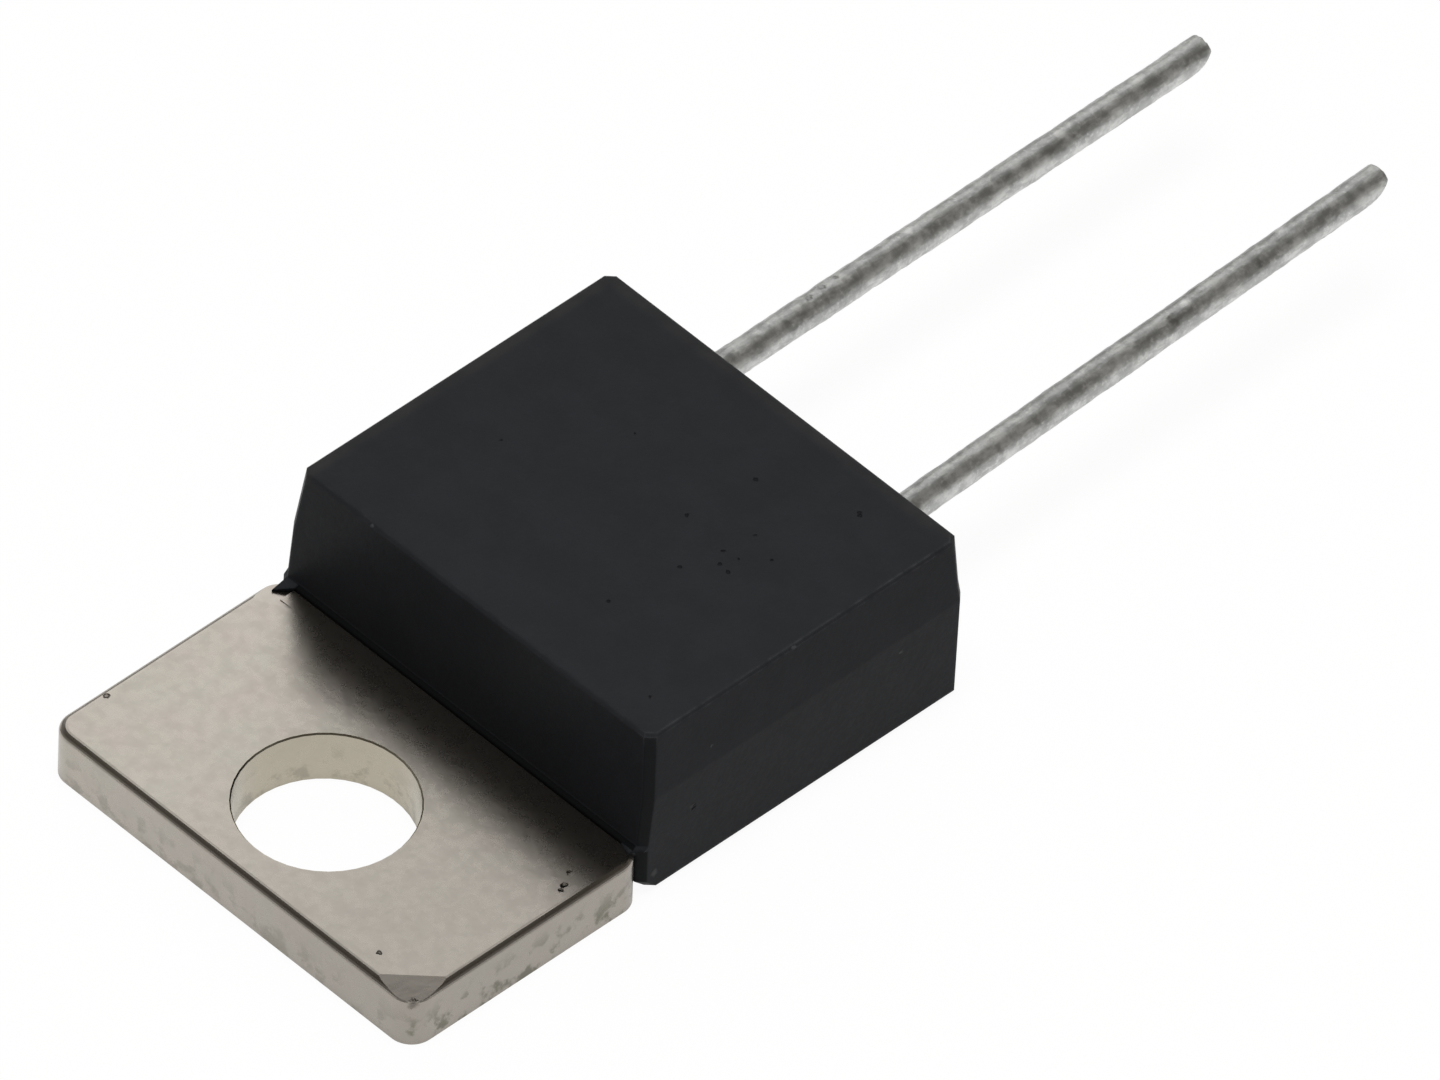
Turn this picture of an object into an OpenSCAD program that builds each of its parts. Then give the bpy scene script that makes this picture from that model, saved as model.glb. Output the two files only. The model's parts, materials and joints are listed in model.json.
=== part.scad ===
// Power resistor in a flat moulded case with a bolt-down heat-sink plate and two round wire leads.
// Millimetres, +Z up. The origin is the bolt-hole axis on the plate's mounting face, which is the
// plane z = 0. The leads run towards +Y and the plate's width lies along X.

/* [Heat-sink plate] */
// Width of the exposed plate
plate_w = 10; // [9:0.1:12]
// Thickness of the plate
plate_t = 1.2; // [0.8:0.05:1.5]
// Hole axis to the free front edge
hole_to_front = 2.5; // [2.4:0.1:4]
// Hole axis to the foot of the moulded body
hole_to_body = 3.45; // [3:0.05:5]
// Bolt-hole diameter
hole_d = 3.6; // [2.6:0.1:4]
// Corner radius of the exposed plate, seen from above
plate_corner_r = 0.5; // [0.2:0.05:0.8]
// Reach of the rolled-over top edge, in from the side of the plate
edge_roll = 0.17; // [0.05:0.01:0.18]
// Depth of the rolled-over top edge at the side of the plate
edge_drop = 0.14; // [0.03:0.01:0.2]
// Broken edge round the top of the hole
hole_edge = 0.03; // [0.02:0.01:0.08]
// Reach of the pulled-down corner facets, along the diagonal from the sharp corner
corner_pull = 0.85; // [0.4:0.05:1]
// Depth of the pulled-down facets at the sharp corner
corner_drop = 0.1; // [0.05:0.01:0.2]
// Exposed plate let into the front of the moulding
shoulder_sink = 0.05; // [0.02:0.01:0.1]

/* [Moulded body] */
// Width at the parting line
body_w = 9.9; // [9:0.1:11.4]
// Length from the foot on the plate to the back face
body_l = 8.35; // [7.6:0.05:12]
// Height of the top face above the mounting face
body_top = 3.95; // [3.7:0.05:5]
// Set-back of the underside from the mounting face
body_setback = 0.1; // [0.05:0.01:0.2]
// Draft angle of the upper mould half, degrees
draft = 6; // [2:0.5:9]
// Draft angle of the back face, degrees
back_draft = 1.5; // [1:0.5:4]
// Step of the back face at the parting line
parting_step = 0.04; // [0.03:0.01:0.12]
// Height of the band in which the back face steps in
parting_band = 0.35; // [0.2:0.05:0.5]
// Bevel under the front edge
front_bevel = 0.25; // [0.1:0.05:0.5]
// Bevel down the four upright corners
corner_bevel = 0.16; // [0.08:0.01:0.3]
// Broken edge round the top face
top_edge = 0.06; // [0.03:0.01:0.15]
// Foot of the moulding where it seals on the plate
foot = 0.1; // [0.05:0.01:0.2]
// Width of the flash on the plate at each end of the foot
flash_w = 0.3; // [0.3:0.05:1]
// Reach of the flash in front of the left end of the foot
flash_left = 0.4; // [0.2:0.05:0.5]
// Reach of the flash in front of the right end of the foot
flash_right = 0.2; // [0.15:0.05:0.5]
// Height of the left flash where it meets the front face
flash_rise_left = 0.12; // [0.1:0.05:0.5]
// Height of the right flash where it meets the front face
flash_rise_right = 0.06; // [0.04:0.01:0.5]
// Moulding left outside the embedded part of the plate
plate_wall = 0.45; // [0.35:0.05:0.8]
// Moulding left behind the embedded plate
plate_back_wall = 0.7; // [0.5:0.05:1.2]
// Width of the locking ledge under the embedded plate
ledge_w = 0.25; // [0.1:0.05:0.4]
// Height of the locking ledge
ledge_h = 0.4; // [0.3:0.05:0.5]

/* [Leads] */
// Wire diameter
lead_d = 0.7; // [0.5:0.05:0.9]
// Distance between the two wire axes
lead_pitch = 5.08; // [4.6:0.02:5.6]
// Free length behind the body
lead_free = 13.3; // [6:0.1:20]
// Upward tilt of the left wire behind the body, degrees
lift_left = 0.9; // [0:0.1:2]
// Upward tilt of the right wire behind the body, degrees
lift_right = 1.5; // [0:0.1:2]
// Inward lean of the right wire behind the body, degrees
lean_right = 1; // [0:0.1:2]
// Broken edge round the cut end
lead_tip = 0.03; // [0.02:0.01:0.06]
// Radius to which the shear rolled one side of the cut end
tip_roll = 0.8; // [0.5:0.05:1.5]
// Depth of the rolled side at the cut face
tip_depth = 0.26; // [0.1:0.02:0.4]
// Turn of the rolled side from straight below towards +X, degrees
tip_turn = 52; // [0:2:90]
// Length of the flattened foot soldered to the termination
lead_foot_l = 3.4; // [2.4:0.1:3.6]
// Round wire held inside the back wall of the moulding
lead_neck = 0.06; // [0.05:0.01:0.14]
// Width of the flattened foot
lead_foot_w = 0.9; // [0.7:0.05:1.1]
// Rise of the round wire above the underside of its foot
lead_rise = 0.06; // [0.04:0.01:0.1]

/* [Resistor element] */
// Thickness of the ceramic
ceramic_t = 0.7; // [0.5:0.01:0.9]
// Foot of the moulded body to the front of the ceramic
ceramic_front = 0.6; // [0.4:0.05:1]
// Plate shown round the ceramic on each side
ceramic_margin = 0.55; // [0.4:0.05:0.9]
// Ceramic left bare outside the printed layers
print_margin = 0.35; // [0.2:0.05:0.5]
// Thickness of the solder under the ceramic
bond_t = 0.06; // [0.03:0.01:0.12]
// Thickness of the printed layers
print_t = 0.03; // [0.02:0.005:0.05]
// Width of one printed termination
pad_w = 1.5; // [1.3:0.05:1.8]
// Thickness of the glass over the resistor film
glass_t = 0.05; // [0.03:0.01:0.1]
// Lap of the glass over each termination
glass_lap = 0.1; // [0.05:0.01:0.15]
// Width of the trim cut in the film
trim_w = 0.12; // [0.05:0.01:0.2]
// Reach of the trim cut across the film, as a share of the film's width
trim_share = 0.45; // [0.2:0.05:0.7]
// Solder between a lead foot and its termination
joint_gap = 0.05; // [0.03:0.01:0.08]
// Solder standing out on each side of a lead foot
joint_side = 0.2; // [0.1:0.05:0.25]

/* [Hidden] */
$fn = 64;
cut = 1;
edge_steps = 6;
front_y = -hole_to_front;
body_y = hole_to_body;
back_y = body_y + body_l;
shoulder_y = body_y + shoulder_sink;
tip_y = back_y + lead_free;

embed_x = body_w / 2 - plate_wall;
embed_y = back_y - plate_back_wall;

ceramic_x = embed_x - ceramic_margin;
ceramic_y0 = body_y + ceramic_front;
ceramic_y1 = embed_y - ceramic_margin;
ceramic_z = plate_t + bond_t;
print_z = ceramic_z + ceramic_t;
print_y0 = ceramic_y0 + print_margin;
print_y1 = ceramic_y1 - print_margin;
pad_z = print_z + print_t;
pad_x0 = lead_pitch / 2 - pad_w / 2;
film_x = pad_x0;

foot_z = pad_z + joint_gap;
lead_z = foot_z + lead_rise + lead_d / 2;
lead_foot_t = PI * lead_d * lead_d / 4 / lead_foot_w;
foot_y = print_y1 - lead_foot_l;
neck_y = back_y - lead_neck;

// The moulding at height z: its half width, its front and its back. The upper mould half has draft
// on every side, the lower one on the back alone.
rise = tan(draft);
back_rise = tan(back_draft);
upper_z = lead_z + parting_band;
function side_at(z) = body_w / 2 - max(0, z - lead_z) * rise;
function front_at(z) = body_y + max(0, z - plate_t) * rise;
function back_at(z) = z > lead_z
    ? back_y - parting_step - (z - upper_z) * back_rise
    : back_y - (lead_z - z) * back_rise;

bevel_z = body_setback + front_bevel;
foot_top_z = plate_t + foot;
edge_z = body_top - top_edge;
// Rows of [height, half width, front, back].
outline = [
    [body_setback, side_at(body_setback), body_y + front_bevel, back_at(body_setback)],
    [bevel_z, side_at(bevel_z), body_y, back_at(bevel_z)],
    [plate_t, side_at(plate_t), body_y, back_at(plate_t)],
    [plate_t, side_at(plate_t), body_y - foot, back_at(plate_t)],
    [foot_top_z, side_at(foot_top_z), front_at(foot_top_z), back_at(foot_top_z)],
    [lead_z, side_at(lead_z), front_at(lead_z), back_at(lead_z)],
    [upper_z, side_at(upper_z), front_at(upper_z), back_at(upper_z)],
    [edge_z, side_at(edge_z), front_at(edge_z), back_at(edge_z)],
    [body_top, side_at(edge_z) - top_edge, front_at(edge_z) + top_edge, back_at(edge_z) - top_edge],
];

module block(x0, x1, y0, y1, z0, z1)
    translate([x0, y0, z0]) cube([x1 - x0, y1 - y0, z1 - z0]);

// The rolled-over top edge of the plate as a quarter ellipse, for a side at the distance reach.
function rolled_edge(reach) = [for (i = [0:edge_steps]) let (a = 90 * i / edge_steps)
    [reach - edge_roll * (1 - cos(a)), plate_t - edge_drop * (1 - sin(a))]];

// Section of the plate between two sides, each at the distance reach from the middle.
module rolled_section(reach) {
    edge = rolled_edge(reach);
    polygon(concat([[-reach, 0], [reach, 0]], edge,
        [for (i = [edge_steps:-1:0]) [-edge[i][0], edge[i][1]]]));
}

// One rounded corner of the exposed plate.
module plate_post(x, y)
    translate([x, y, 0]) rotate_extrude()
        polygon(concat([[0, 0], [plate_corner_r, 0]], rolled_edge(plate_corner_r), [[0, plate_t]]));

module exposed_plate() {
    x = plate_w / 2;
    r = plate_corner_r;
    length = shoulder_y - front_y;
    translate([0, front_y + length / 2, 0]) {
        rotate([90, 0, 0]) linear_extrude(length - 2 * r, center = true) rolled_section(x);
        rotate([90, 0, 90]) linear_extrude(plate_w - 2 * r, center = true) rolled_section(length / 2);
    }
    for (sx = [-1, 1], y = [front_y + r, shoulder_y - r]) plate_post(sx * (x - r), y);
}

// Wedge over one corner, pulled down where the plate was punched out.
module corner_facet(x, y, turn)
    translate([x, y, plate_t]) rotate([0, 0, turn]) translate([-corner_pull, 0, 0])
        rotate([0, atan(corner_drop / corner_pull), 0])
            translate([0, -cut, 0]) cube([2 * cut, 2 * cut, cut]);

module embedded_plate() {
    block(-embed_x, embed_x, shoulder_y - plate_corner_r, embed_y, ledge_h, plate_t);
    block(ledge_w - embed_x, embed_x - ledge_w, shoulder_y - plate_corner_r, embed_y - ledge_w, 0, plate_t);
}

module heat_sink_plate() color("#b8b0a4") difference() {
    union() {
        difference() {
            exposed_plate();
            corner_facet(plate_w / 2, front_y, -45);
            corner_facet(-plate_w / 2, shoulder_y, 120);
        }
        embedded_plate();
    }
    translate([0, 0, -cut]) cylinder(d = hole_d, h = plate_t + 2 * cut);
    translate([0, 0, plate_t - hole_edge])
        cylinder(r1 = hole_d / 2, r2 = hole_d / 2 + hole_edge + cut, h = hole_edge + cut);
}

module substrate_solder() color("#9a9c9e")
    block(-ceramic_x, ceramic_x, ceramic_y0, ceramic_y1, plate_t, ceramic_z);

module ceramic_substrate() color("#eeece4")
    block(-ceramic_x, ceramic_x, ceramic_y0, ceramic_y1, ceramic_z, print_z);

module film_slot(y)
    block(-film_x - cut, film_x * (2 * trim_share - 1), y, y + trim_w, print_z - cut, pad_z + cut);

// The film carries one straight trim cut from its left edge, half way along.
module resistor_film() color("#23282a") difference() {
    block(-film_x, film_x, print_y0, print_y1, print_z, pad_z);
    film_slot((print_y0 + print_y1) / 2);
}

module termination() block(pad_x0, pad_x0 + pad_w, print_y0, print_y1, print_z, pad_z);

module termination_left() color("#c9c9c4") mirror([1, 0, 0]) termination();

module termination_right() color("#c9c9c4") termination();

module glass_overcoat() color("#1d5a45") difference() {
    block(-film_x - glass_lap, film_x + glass_lap, print_y0 - glass_lap, print_y1 + glass_lap,
        print_z, pad_z + glass_t);
    resistor_film();
    termination_left();
    termination_right();
}

// Round wire that was sheared to length. It runs up the Z axis, and the side that the shear rolled
// over is turned from +Y by the angle turn.
module sheared_wire(length, turn) difference() {
    r = lead_d / 2;
    reach = sqrt(2 * tip_roll * tip_depth - tip_depth * tip_depth);
    union() {
        cylinder(r = r, h = length - lead_tip);
        translate([0, 0, length - lead_tip]) cylinder(r1 = r, r2 = r - lead_tip, h = lead_tip);
    }
    rotate([0, 0, turn]) translate([-lead_d, r - tip_roll, length - reach]) difference() {
        cube([2 * lead_d, tip_roll + cut, reach + cut]);
        translate([-cut, 0, 0]) rotate([0, 90, 0]) cylinder(r = tip_roll, h = 2 * lead_d + 2 * cut);
    }
}

module lead_foot() translate([lead_pitch / 2, 0, 0])
    block(-lead_foot_w / 2, lead_foot_w / 2, foot_y, neck_y + lead_neck / 2, foot_z, foot_z + lead_foot_t);

// Round wire with a flattened foot, tilted upwards by lift and inwards by lean.
module lead(lift, lean, turn) {
    lead_foot();
    translate([lead_pitch / 2, neck_y, lead_z]) rotate([lift - 90, 0, lean])
        sheared_wire(tip_y - neck_y, turn);
}

module lead_left() color("#a9aaa6") mirror([1, 0, 0]) lead(lift_left, 0, tip_turn);

module lead_right() color("#a9aaa6") lead(lift_right, lean_right, -tip_turn);

// Solder fillet with sloping sides along a lead foot.
module solder_joint() {
    half = lead_foot_w / 2;
    difference() {
        translate([lead_pitch / 2, print_y1, pad_z]) rotate([90, 0, 0])
            linear_extrude(lead_foot_l)
                polygon([[-half - joint_side, 0], [half + joint_side, 0],
                    [half, joint_gap + joint_side], [-half, joint_gap + joint_side]]);
        lead_foot();
    }
}

module solder_joint_left() color("#8f9194") mirror([1, 0, 0]) solder_joint();

module solder_joint_right() color("#8f9194") solder_joint();

// Half widths [a, b] of the outline seen along one level direction, by height.
module outline_profile(sides)
    polygon(concat(
        [for (i = [0:len(outline) - 1]) [sides[i][1], outline[i][0]]],
        [for (i = [len(outline) - 1:-1:0]) [sides[i][0], outline[i][0]]]));

// Solid bounded across the direction that is turned from +X by the angle turn.
module outline_prism(turn, sides)
    rotate([0, 0, turn]) rotate([90, 0, 0]) translate([0, 0, -2 * tip_y])
        linear_extrude(4 * tip_y) outline_profile(sides);

module body_outer() {
    diagonal = sqrt(2);
    intersection() {
        outline_prism(0, [for (o = outline) [-o[1], o[1]]]);
        outline_prism(90, [for (o = outline) [o[2], o[3]]]);
        outline_prism(45, [for (o = outline)
            [(o[2] - o[1] + corner_bevel) / diagonal, (o[3] + o[1] - corner_bevel) / diagonal]]);
        outline_prism(-45, [for (o = outline)
            [(-o[3] - o[1] + corner_bevel) / diagonal, (o[1] - o[2] - corner_bevel) / diagonal]]);
    }
}

// Wedge of flash on the plate at the right end of the foot, widest at the outer side.
module flash(reach, high) intersection() {
    x = side_at(plate_t) - corner_bevel;
    y0 = body_y - reach;
    y1 = front_at(plate_t + high) + foot;
    linear_extrude(body_top) polygon([[x, y0], [x, y1], [x - flash_w, y1], [x - flash_w, body_y - foot]]);
    rotate([90, 0, 90]) linear_extrude(body_w)
        polygon([[y0, plate_t - edge_drop], [y1, plate_t - edge_drop], [y1, plate_t + high], [y0, plate_t]]);
}

module moulded_body() color("#26282b") difference() {
    union() {
        body_outer();
        flash(flash_right, flash_rise_right);
        mirror([1, 0, 0]) flash(flash_left, flash_rise_left);
    }
    heat_sink_plate();
    substrate_solder();
    ceramic_substrate();
    resistor_film();
    termination_left();
    termination_right();
    glass_overcoat();
    solder_joint_left();
    solder_joint_right();
    lead_left();
    lead_right();
}

heat_sink_plate();
substrate_solder();
ceramic_substrate();
resistor_film();
termination_left();
termination_right();
glass_overcoat();
solder_joint_left();
solder_joint_right();
lead_left();
lead_right();
moulded_body();
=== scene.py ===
"""Finish, studio and camera for the moulded power resistor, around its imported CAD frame."""

import json
import math

import bpy
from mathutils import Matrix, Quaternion, Vector
from mathutils.bvhtree import BVHTree

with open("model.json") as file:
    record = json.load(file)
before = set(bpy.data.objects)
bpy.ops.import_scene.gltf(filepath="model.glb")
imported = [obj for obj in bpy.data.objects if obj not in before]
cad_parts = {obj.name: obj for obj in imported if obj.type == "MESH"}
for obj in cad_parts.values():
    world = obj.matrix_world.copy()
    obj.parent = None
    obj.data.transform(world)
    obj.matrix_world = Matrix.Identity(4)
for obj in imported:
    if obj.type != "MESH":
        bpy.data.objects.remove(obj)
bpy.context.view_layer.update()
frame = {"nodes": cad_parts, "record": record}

MM = 0.001

# Camera: a long lens on the photo's line of sight. Angles are in degrees, lengths in mm.
AZIMUTH = 45.2
ELEVATION = 45.1
ROLL = 2.1
AIM = (-0.12, 10.256, 1.2)
DISTANCE = 905
VIEW_WIDTH = 27.16

# Floor and lamp, in mm
FLOOR_HALF = 1500
FLOOR_DROP = 0.005
LAMP_SIZE = 400
LAMP_DISTANCE = 800
LAMP_AZIMUTH = -45
LAMP_ELEVATION = 85
LAMP_POWER = 5.4
# Share of plain white in the floor, as the camera and as metal see it
FLOOR_WHITE_DIRECT = 0.94
FLOOR_WHITE_MIRRORED = 0.57

# The sky: a dim warm room with a paler band above the horizon and soft windows. The band has the
# elevations where it starts, is full, starts to fade and is gone. Each window has its azimuth and
# elevation, the radius where it is full, the radius where it is gone, and its level. Angles are in
# degrees, and azimuths, here and for the lamp, turn from +X towards +Y.
ROOM_COLOUR = (0.088, 0.079, 0.066)
BAND_COLOUR = (0.27, 0.262, 0.25)
BAND_ELEVATIONS = (4, 12, 24, 38)
# What the plate and the body mirror in the photo
BACK_WINDOW = (135, 38, 2, 27, 1.51)
# What they mirror when they are seen from above
TOP_WINDOW = (0, 90, 6, 19, 0.85)

# Relief of the wires, in mm: how far apart its dents and its grain lie and how deep they go
WIRE_RELIEF = {
    "dents": (0.45, 0.035),
    "grain": (0.12, 0.012),
}

# Marks that the part carries: x and y in the photo's pixels, and a radius in mm. They were picked there,
# save the three that say otherwise. on_part() finds where each of them lies on the solids.
PHOTO_WIDTH = 1440
PHOTO_HEIGHT = 1080
BODY_PITS = [
    (756, 479, 0.06),
    (860, 516, 0.05),
    (860, 513, 0.05),
    (501, 440, 0.05),
    (635, 433, 0.04),
    (687, 515, 0.06),
    (723, 551, 0.05),
    (720, 564, 0.05),
    (728, 572, 0.05),
    (739, 559, 0.04),
    (755, 535, 0.05),
    (772, 560, 0.04),
    (680, 567, 0.05),
    (608, 601, 0.05),
    (651, 697, 0.04),
    (693, 807, 0.08),
]
BODY_CHIPS = [
    (372, 526, 0.06),
    (712, 746, 0.05),
    (794, 648, 0.06),
    (901, 652, 0.06),
    (654, 873, 0.12),
]
PLATE_SPECKS = [
    (107, 696, 0.08),
    (379, 953, 0.06),
    (413, 1005, 0.14),
    (564, 885, 0.09),
    (561, 890, 0.06),  # a guess: the photo shows no dark speck here
    (569, 872, 0.06),  # a guess: the photo shows no dark speck here
]
WIRE_NICKS = [
    (907, 229, 0.16),
    (798, 307, 0.13),
    (1134, 78, 0.22),
    (1059, 132, 0.14),
    (1185, 302, 0.17),
    (1279, 228, 0.18),  # seen at the wire's very edge, and moved onto the wire
]
WIRE_SCRATCHES = [
    (809, 297, 0.10),
    (821, 286, 0.11),
    (834, 276, 0.10),
    (1173, 320, 0.16),
    (1260, 263, 0.11),
]


# ---------------------------------------------------------------- places


def box(name):
    """Lowest and highest x, y and z of a CAD node, in mm."""
    points = [v.co / MM for v in frame["nodes"][name].data.vertices]
    return [[pick(p[axis] for p in points) for axis in range(3)] for pick in (min, max)]


def line_of_sight():
    """Direction from the part to the camera, and the camera's rotation."""
    turn, rise = math.radians(AZIMUTH), math.radians(ELEVATION)
    back = Vector((math.sin(turn) * math.cos(rise), -math.cos(turn) * math.cos(rise), math.sin(rise)))
    return back, back.to_track_quat("Z", "Y") @ Quaternion((0, 0, 1), math.radians(ROLL))


def solid_tree(node):
    """A CAD node's faces in mm, ready for rays."""
    points = [v.co / MM for v in node.data.vertices]
    return BVHTree.FromPolygons(points, [tuple(face.vertices) for face in node.data.polygons])


def on_part(spots):
    """Where the photo's pixels lie on the solids, as x, y, z and the radius in mm."""
    back, turned = line_of_sight()
    eye = Vector(AIM) + back * DISTANCE
    pixel = VIEW_WIDTH / PHOTO_WIDTH
    solids = [solid_tree(node) for node in frame["nodes"].values()]
    places = []
    for x, y, radius in spots:
        ray = turned @ Vector(((x - PHOTO_WIDTH / 2) * pixel, (PHOTO_HEIGHT / 2 - y) * pixel, -DISTANCE))
        hits = [solid.ray_cast(eye, ray) for solid in solids]
        place, _, _, _ = min((hit for hit in hits if hit[0]), key=lambda hit: hit[3])
        places.append((*place, radius))
    return places


def direction(azimuth, elevation):
    turn, rise = math.radians(azimuth), math.radians(elevation)
    return Vector((math.cos(turn) * math.cos(rise), math.sin(turn) * math.cos(rise), math.sin(rise)))


def rgb(red, green, blue):
    return (red, green, blue, 1.0)


# ---------------------------------------------------------------- node helpers


class Nodes:
    """Short ways to add nodes to a tree."""

    def __init__(self, tree):
        self.tree = tree

    def add(self, kind, inputs=None, **settings):
        node = self.tree.nodes.new(kind)
        for name, value in settings.items():
            setattr(node, name, value)
        for name, value in (inputs or {}).items():
            self.feed(node.inputs[name], value)
        return node

    def feed(self, socket, value):
        if isinstance(value, bpy.types.NodeSocket):
            self.tree.links.new(value, socket)
        else:
            socket.default_value = value

    def split(self, vector):
        return self.add("ShaderNodeSeparateXYZ", {"Vector": vector}).outputs

    def vector_math(self, operation, *values):
        node = self.add("ShaderNodeVectorMath", operation=operation)
        for socket, value in zip(node.inputs, values):
            self.feed(socket, value)
        return node.outputs

    def math(self, operation, a, b=0.0):
        node = self.add("ShaderNodeMath", operation=operation)
        self.feed(node.inputs[0], a)
        self.feed(node.inputs[1], b)
        return node.outputs[0]

    def range(self, value, low, high, to_low=0.0, to_high=1.0):
        """Takes value smoothly from to_low at low to to_high at high."""
        inputs = {"Value": value, "From Min": low, "From Max": high, "To Min": to_low, "To Max": to_high}
        return self.add("ShaderNodeMapRange", inputs, interpolation_type="SMOOTHSTEP").outputs["Result"]

    def blend(self, share, a, b):
        node = self.add("ShaderNodeMix", data_type="RGBA")
        colours = [socket for socket in node.inputs if socket.type == "RGBA"]
        self.feed(node.inputs["Factor"], share)
        self.feed(colours[0], a)
        self.feed(colours[1], b)
        return next(socket for socket in node.outputs if socket.type == "RGBA")


class Shader(Nodes):
    """One material's tree. Texture coordinates are millimetres in the part's frame."""

    def __init__(self, name):
        self.material = bpy.data.materials.new(name)
        self.material.use_nodes = True
        super().__init__(self.material.node_tree)
        self.surface = self.tree.nodes["Principled BSDF"]
        place = self.add("ShaderNodeTexCoord").outputs
        self.normal = place["Normal"]
        self.mm = self.stretch(place["Object"], (1 / MM, 1 / MM, 1 / MM))
        self.x, self.y, self.z = self.split(self.mm)

    def set(self, **inputs):
        """Sets sockets of the Principled shader, such as base_color or roughness."""
        for name, value in inputs.items():
            self.feed(self.surface.inputs[name.replace("_", " ").title()], value)

    def stretch(self, vector, scale, offset=(0, 0, 0)):
        inputs = {"Vector": vector, "Scale": scale, "Location": offset}
        return self.add("ShaderNodeMapping", inputs).outputs["Vector"]

    def noise(self, size, detail, roughness, at=None, distortion=0, output="Fac"):
        """Noise from 0 to 1 whose features are about size millimetres across."""
        inputs = {"Vector": at or self.mm, "Scale": 1 / size, "Detail": detail,
                  "Roughness": roughness, "Distortion": distortion}
        return self.add("ShaderNodeTexNoise", inputs).outputs[output]

    def near(self, spots):
        """1 in the middle of each spot, 0 outside its radius, with an uneven outline."""
        shift = 0.12
        centred = self.stretch(self.mm, (1, 1, 1), (-shift / 2, -shift / 2, -shift / 2))
        scatter = self.noise(size=1 / 9, detail=2, roughness=0.5, output="Color")
        uneven = self.vector_math("MULTIPLY_ADD", scatter, (shift, shift, shift), centred)[0]
        total = 0.0
        for x, y, z, radius in spots:
            away = self.vector_math("DISTANCE", uneven, (x, y, z))["Value"]
            total = self.math("MAXIMUM", self.range(away, 0.3 * radius, radius, 1, 0), total)
        return total

    def rounded(self, radius):
        """Surface normal as if every edge were rounded to radius millimetres."""
        return self.add("ShaderNodeBevel", {"Radius": radius * MM}, samples=6).outputs["Normal"]

    def edges(self, rounded, reach):
        """1 along the edges, where the rounded normal has turned by more than reach."""
        flat = self.add("ShaderNodeNewGeometry").outputs["Normal"]
        return self.range(self.vector_math("DOT_PRODUCT", flat, rounded)["Value"], 1 - reach, 1, 1, 0)

    def facing(self, way, reach):
        """1 on faces that look the way given, 0 on those turned away by more than reach."""
        turned = self.vector_math("DOT_PRODUCT", self.normal, Vector(way).normalized())["Value"]
        return self.range(turned, 1 - reach, 1 - 0.5 * reach)

    def bump(self, height, depth, normal=None):
        """Surface relief of about depth millimetres."""
        inputs = {"Height": height, "Distance": depth * MM, "Strength": 1.0}
        if normal:
            inputs["Normal"] = normal
        return self.add("ShaderNodeBump", inputs).outputs["Normal"]


# ---------------------------------------------------------------- materials


def nickel_plate():
    """Satin nickel: cloudy, with painted shade that darkens it towards the right, warm in the bore and
    darker in spots low on the sides.
    """
    s = Shader("nickel_plate")
    (left, _, _), (right, _, top) = box("heat_sink_plate")
    hole = next(mount for mount in frame["record"]["mounts"] if mount["name"] == "mounting_hole")
    bore_radius = hole["dims"]["r_mm"]
    pink, olive = rgb(0.436, 0.394, 0.352), rgb(0.424, 0.399, 0.347)
    pale, dull, shaded = rgb(0.46, 0.43, 0.39), rgb(0.34, 0.31, 0.275), rgb(0.30, 0.275, 0.245)
    warm, dark_low_tone, dark = rgb(0.47, 0.43, 0.34), rgb(0.15, 0.145, 0.11), rgb(0.07, 0.06, 0.05)

    clouds = s.noise(size=1.4, detail=3, roughness=0.55, distortion=0.5)
    mottle = s.noise(size=0.3, detail=3, roughness=0.6)
    tint = s.noise(size=0.7, detail=3, roughness=0.6, at=s.stretch(s.mm, (1, 1, 1), (7, 3, 0)))
    base = s.blend(s.range(tint, 0.3, 0.7), pink, olive)
    base = s.blend(s.range(clouds, 0.3, 0.7, 0, 0.25), base, pale)
    base = s.blend(s.range(mottle, 0.4, 0.85, 0, 0.22), base, dull)
    # Painted shade: the colour darkens towards the right end of the plate.
    base = s.blend(s.range(s.x, left + 0.5, right, 0, 0.6), base, shaded)

    from_axis = s.math("SQRT", s.math("ADD", s.math("POWER", s.x, 2), s.math("POWER", s.y, 2)))
    in_bore = s.range(from_axis, bore_radius + 0.017, bore_radius + 0.044, 0.8, 0)
    base = s.blend(in_bore, base, warm)
    # Darker in spots low on the sides, most at the right end.
    low = s.range(s.z, 0.2, top - 0.1, 0.85, 0)
    more_on_the_right = s.range(s.x, right - 0.3, right - 0.05, 0.4, 1)
    spotted = s.range(s.noise(size=0.4, detail=4, roughness=0.6), 0.48, 0.62)
    low_dark_spots = s.math("MULTIPLY", spotted, s.math("MULTIPLY", low, more_on_the_right))
    base = s.blend(low_dark_spots, base, dark_low_tone)
    specks = s.near(on_part(PLATE_SPECKS))
    base = s.blend(s.math("MULTIPLY", specks, 0.6), base, dark)

    normal = s.bump(clouds, depth=0.010)
    normal = s.bump(s.noise(size=0.5, detail=1, roughness=0.5), 0.002, normal)
    normal = s.bump(s.noise(size=0.09, detail=1, roughness=0.5), 0.0006, normal)
    normal = s.bump(specks, -0.02, normal)
    s.set(base_color=base, metallic=0.988, roughness=s.range(mottle, 0.3, 0.7, 0.26, 0.30), normal=normal)
    return s.material


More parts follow.
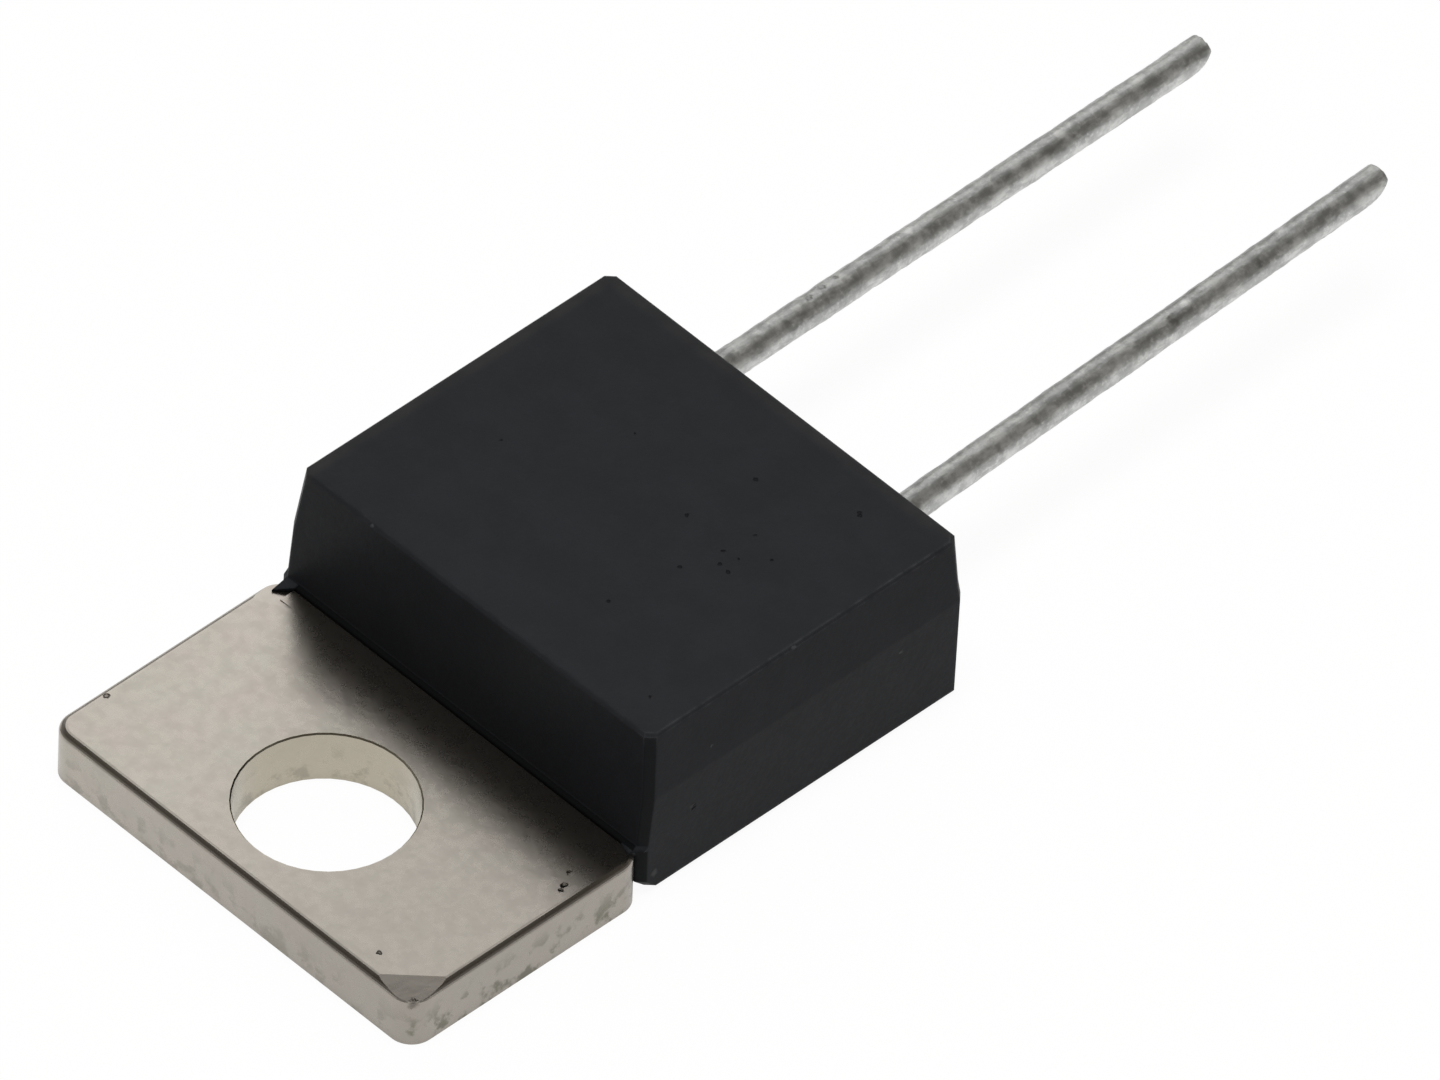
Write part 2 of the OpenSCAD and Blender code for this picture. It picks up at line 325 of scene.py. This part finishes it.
def mould_compound():
    """Matt charcoal moulding with soft edges, pits and chips; painted sheen on its upper left and back,
    paler top edges that are partly wear and partly a painted highlight, and painted shade at its foot and
    front corner.
    """
    s = Shader("mould_compound")
    (left, _, _), (right, back, top) = box("moulded_body")
    plate_top = box("heat_sink_plate")[1][2]
    charcoal, greyer = rgb(0.0172, 0.0183, 0.0206), rgb(0.0190, 0.0202, 0.0228)
    fleck, painted_sheen, edge_highlight_and_wear = rgb(0.023, 0.025, 0.027), rgb(0.032, 0.031, 0.030), rgb(0.050, 0.051, 0.054)
    shaded, black, chipped = rgb(0.0055, 0.006, 0.0065), rgb(0.004, 0.004, 0.0045), rgb(0.06, 0.062, 0.065)

    cloud = s.noise(size=1.0, detail=4, roughness=0.6)
    speckle = s.noise(size=0.12, detail=4, roughness=0.7)
    base = s.blend(s.range(cloud, 0.35, 0.65), charcoal, greyer)
    base = s.blend(s.range(speckle, 0.55, 0.8, 0, 0.5), base, fleck)

    upper = s.range(s.z, top - 0.35, top - 0.15)
    # Painted sheen: the upper part near the left end and near the back is made paler.
    by_left, by_back = s.range(s.x, left + 0.55, left + 0.3), s.range(s.y, back - 0.5, back - 0.2)
    sheen_rim = s.math("MULTIPLY", s.math("MAXIMUM", by_left, by_back), upper)
    sheen_rim = s.math("MULTIPLY", sheen_rim, s.range(cloud, 0.3, 0.7, 0.2, 0.7))
    base = s.blend(sheen_rim, base, painted_sheen)
    soft = s.rounded(0.1)
    # Paler along the top edges, most at the right end: partly wear, partly a painted highlight.
    edge = s.math("MULTIPLY", s.edges(soft, 0.06), upper)
    edge = s.math("MULTIPLY", edge, s.range(s.x, right - 0.55, right - 0.35, 0.3, 1))
    patchy = s.range(s.noise(size=0.3, detail=3, roughness=0.6), 0.3, 0.7, 0.25, 1)
    base = s.blend(s.math("MULTIPLY", edge, patchy), base, edge_highlight_and_wear)

    # Painted shade at the foot, where the body meets the plate, and on the front right corner.
    foot_shade = s.math("MULTIPLY", s.facing((0, -1, 1), 0.1), s.range(s.z, plate_top + 0.25, plate_top + 0.15))
    corner_shade = s.math("MULTIPLY", s.facing((1, -1, 0), 0.1), 0.6)
    base = s.blend(s.math("MAXIMUM", foot_shade, corner_shade), base, shaded)
    pits = s.near(on_part(BODY_PITS))
    base = s.blend(s.math("MULTIPLY", pits, 0.5), base, black)
    base = s.blend(s.math("MULTIPLY", s.near(on_part(BODY_CHIPS)), 0.8), base, chipped)

    normal = s.bump(cloud, 0.01, soft)
    normal = s.bump(speckle, 0.005, normal)
    normal = s.bump(pits, -0.04, normal)
    s.set(base_color=base, roughness=s.range(speckle, 0.3, 0.7, 0.38, 0.48), normal=normal)
    s.surface.inputs["Specular IOR Level"].default_value = 0.05
    return s.material


def tinned_wire():
    """Dull tin with streaks along the wire, bright nicks and dark scratches."""
    s = Shader("tinned_wire")
    grey, pale, drawn = rgb(0.46, 0.47, 0.46), rgb(0.78, 0.785, 0.77), rgb(0.37, 0.37, 0.36)
    bright, dark, shiny = rgb(0.90, 0.90, 0.88), rgb(0.12, 0.12, 0.115), rgb(0.95, 0.95, 0.93)

    streaks = s.noise(size=0.14, detail=4, roughness=0.65, at=s.stretch(s.mm, (1, 0.25, 1)))
    blotches = s.noise(size=0.4, detail=4, roughness=0.65)
    grain = s.noise(size=0.1, detail=3, roughness=0.6)
    base = s.blend(s.range(blotches, 0.35, 0.65), grey, pale)
    base = s.blend(s.range(streaks, 0.45, 0.65, 0, 0.45), base, drawn)
    base = s.blend(s.range(grain, 0.55, 0.75, 0, 0.4), base, bright)
    scratches = s.near(on_part(WIRE_SCRATCHES))
    base = s.blend(s.math("MULTIPLY", scratches, 0.4), base, dark)
    base = s.blend(s.math("MULTIPLY", s.near(on_part(WIRE_NICKS)), 0.6), base, shiny)

    normal = s.bump(streaks, depth=0.012)
    normal = s.bump(grain, 0.006, normal)
    normal = s.bump(scratches, -0.015, normal)
    s.set(base_color=base, metallic=0.93, roughness=s.range(blotches, 0.3, 0.7, 0.42, 0.56), normal=normal)
    return s.material


def solder():
    s = Shader("solder")
    frost = s.noise(size=0.15, detail=4, roughness=0.6)
    base = s.blend(frost, rgb(0.40, 0.41, 0.42), rgb(0.55, 0.56, 0.57))
    rough = s.range(frost, 0.3, 0.7, 0.3, 0.5)
    s.set(base_color=base, metallic=1.0, roughness=rough, normal=s.bump(frost, depth=0.01))
    return s.material


def alumina():
    s = Shader("alumina")
    grain = s.noise(size=0.08, detail=4, roughness=0.6)
    base = s.blend(grain, rgb(0.80, 0.78, 0.72), rgb(0.88, 0.87, 0.83))
    s.set(base_color=base, roughness=s.range(grain, 0.3, 0.7, 0.45, 0.6), normal=s.bump(grain, depth=0.004))
    return s.material


def fired_ink(name, dark, light, metallic, smoothest):
    """Printed and fired layer with the grain of its screen."""
    s = Shader(name)
    mesh = s.noise(size=0.1, detail=4, roughness=0.65)
    rough = s.range(mesh, 0.3, 0.7, smoothest, smoothest + 0.15)
    s.set(base_color=s.blend(mesh, dark, light), metallic=metallic, roughness=rough,
          normal=s.bump(mesh, depth=0.005))
    return s.material


def resistor_ink():
    return fired_ink("resistor_ink", rgb(0.012, 0.014, 0.016), rgb(0.03, 0.033, 0.035),
                     metallic=0.0, smoothest=0.4)


def termination_ink():
    return fired_ink("termination_ink", rgb(0.62, 0.61, 0.57), rgb(0.75, 0.74, 0.70),
                     metallic=1.0, smoothest=0.35)


def overcoat_glass():
    return fired_ink("overcoat_glass", rgb(0.008, 0.075, 0.045), rgb(0.015, 0.11, 0.07),
                     metallic=0.0, smoothest=0.12)


def dress(finishes):
    """Gives every CAD node the material of its slot in the record."""
    materials = {finish.__name__: finish() for finish in finishes}
    for part in frame["record"]["subparts"]:
        node = frame["nodes"][part["node"]]
        node.data.materials.clear()
        node.data.materials.append(materials[part["material_slot"]])


def roughen_wire(name):
    """Gives a wire the shallow dents and grain that drawing and handling leave in soft tin."""
    wire = frame["nodes"][name]
    even = wire.modifiers.new("even_faces", "REMESH")
    even.mode = "SHARP"
    even.octree_depth = 9
    even.scale = 0.95
    even.use_smooth_shade = True
    for label, (size, depth) in WIRE_RELIEF.items():
        relief = bpy.data.textures.new(name + "_" + label, "CLOUDS")
        relief.noise_scale = size * MM
        relief.noise_depth = 2
        dents = wire.modifiers.new(label, "DISPLACE")
        dents.texture = relief
        dents.texture_coords = "LOCAL"
        dents.mid_level = 1
        dents.strength = depth * MM


# ---------------------------------------------------------------- studio


def floor_material():
    """White paper that keeps the part's shadow but reads as white to the camera and in metal."""
    s = Shader("white_paper")
    fibre = s.noise(size=0.6, detail=4, roughness=0.6)
    s.set(base_color=s.blend(fibre, rgb(0.90, 0.90, 0.90), rgb(0.93, 0.93, 0.93)), roughness=0.9)
    path = s.add("ShaderNodeLightPath").outputs
    direct = s.math("MULTIPLY", path["Is Camera Ray"], FLOOR_WHITE_DIRECT)
    in_metal_or_glass = s.math("MAXIMUM", path["Is Glossy Ray"], path["Is Transmission Ray"])
    seen = s.math("MAXIMUM", direct, s.math("MULTIPLY", in_metal_or_glass, FLOOR_WHITE_MIRRORED))
    white = s.add("ShaderNodeEmission", {"Color": rgb(1, 1, 1), "Strength": 1.0}).outputs[0]
    mix = s.add("ShaderNodeMixShader", {"Fac": seen})
    s.feed(mix.inputs[1], s.surface.outputs[0])
    s.feed(mix.inputs[2], white)
    s.feed(s.tree.nodes["Material Output"].inputs["Surface"], mix.outputs[0])
    return s.material


def make_floor():
    half, level = FLOOR_HALF * MM, -FLOOR_DROP * MM
    corners = [(-half, -half, level), (half, -half, level), (half, half, level), (-half, half, level)]
    mesh = bpy.data.meshes.new("floor")
    mesh.from_pydata(corners, [], [(0, 1, 2, 3)])
    mesh.materials.append(floor_material())
    floor = bpy.data.objects.new("floor", mesh)
    bpy.context.scene.collection.objects.link(floor)


def make_world():
    """A dim room with a paler band above the horizon and two soft windows."""
    world = bpy.data.worlds.new("room")
    world.use_nodes = True
    bpy.context.scene.world = world
    n = Nodes(world.node_tree)
    looking = n.add("ShaderNodeTexCoord").outputs["Generated"]
    height = n.split(looking)["Z"]
    start, full, fade, end = (math.sin(math.radians(angle)) for angle in BAND_ELEVATIONS)
    band = n.math("MULTIPLY", n.range(height, start, full), n.range(height, end, fade))
    sky = n.blend(band, rgb(*ROOM_COLOUR), rgb(*BAND_COLOUR))
    for azimuth, elevation, inner, outer, level in (BACK_WINDOW, TOP_WINDOW):
        towards = n.vector_math("DOT_PRODUCT", looking, direction(azimuth, elevation))["Value"]
        share = n.range(towards, math.cos(math.radians(outer)), math.cos(math.radians(inner)))
        sky = n.blend(share, sky, rgb(level, level, level))
    n.feed(n.tree.nodes["Background"].inputs["Color"], sky)


def make_lamp():
    """A broad soft lamp overhead, which lights the part without a glint in its flat faces."""
    data = bpy.data.lights.new("soft_lamp", "AREA")
    data.shape = "DISK"
    data.size = LAMP_SIZE * MM
    data.energy = LAMP_POWER
    lamp = bpy.data.objects.new("soft_lamp", data)
    back = direction(LAMP_AZIMUTH, LAMP_ELEVATION)
    lamp.location = back * LAMP_DISTANCE * MM
    lamp.visible_glossy = False
    lamp.rotation_mode = "QUATERNION"
    lamp.rotation_quaternion = back.to_track_quat("Z", "Y")
    bpy.context.scene.collection.objects.link(lamp)


def make_camera():
    back, turned = line_of_sight()
    data = bpy.data.cameras.new("camera")
    data.sensor_width = 36
    data.lens = data.sensor_width * DISTANCE / VIEW_WIDTH
    data.clip_start, data.clip_end = 0.1, 10
    camera = bpy.data.objects.new("camera", data)
    camera.location = (Vector(AIM) + back * DISTANCE) * MM
    camera.rotation_mode = "QUATERNION"
    camera.rotation_quaternion = turned
    bpy.context.scene.collection.objects.link(camera)
    bpy.context.scene.camera = camera


# ---------------------------------------------------------------- scene

make_camera()
make_world()
make_floor()
make_lamp()
dress([nickel_plate, mould_compound, tinned_wire, solder,
       alumina, resistor_ink, termination_ink, overcoat_glass])
roughen_wire("lead_left")
roughen_wire("lead_right")

bpy.context.scene.view_settings.view_transform = "Standard"
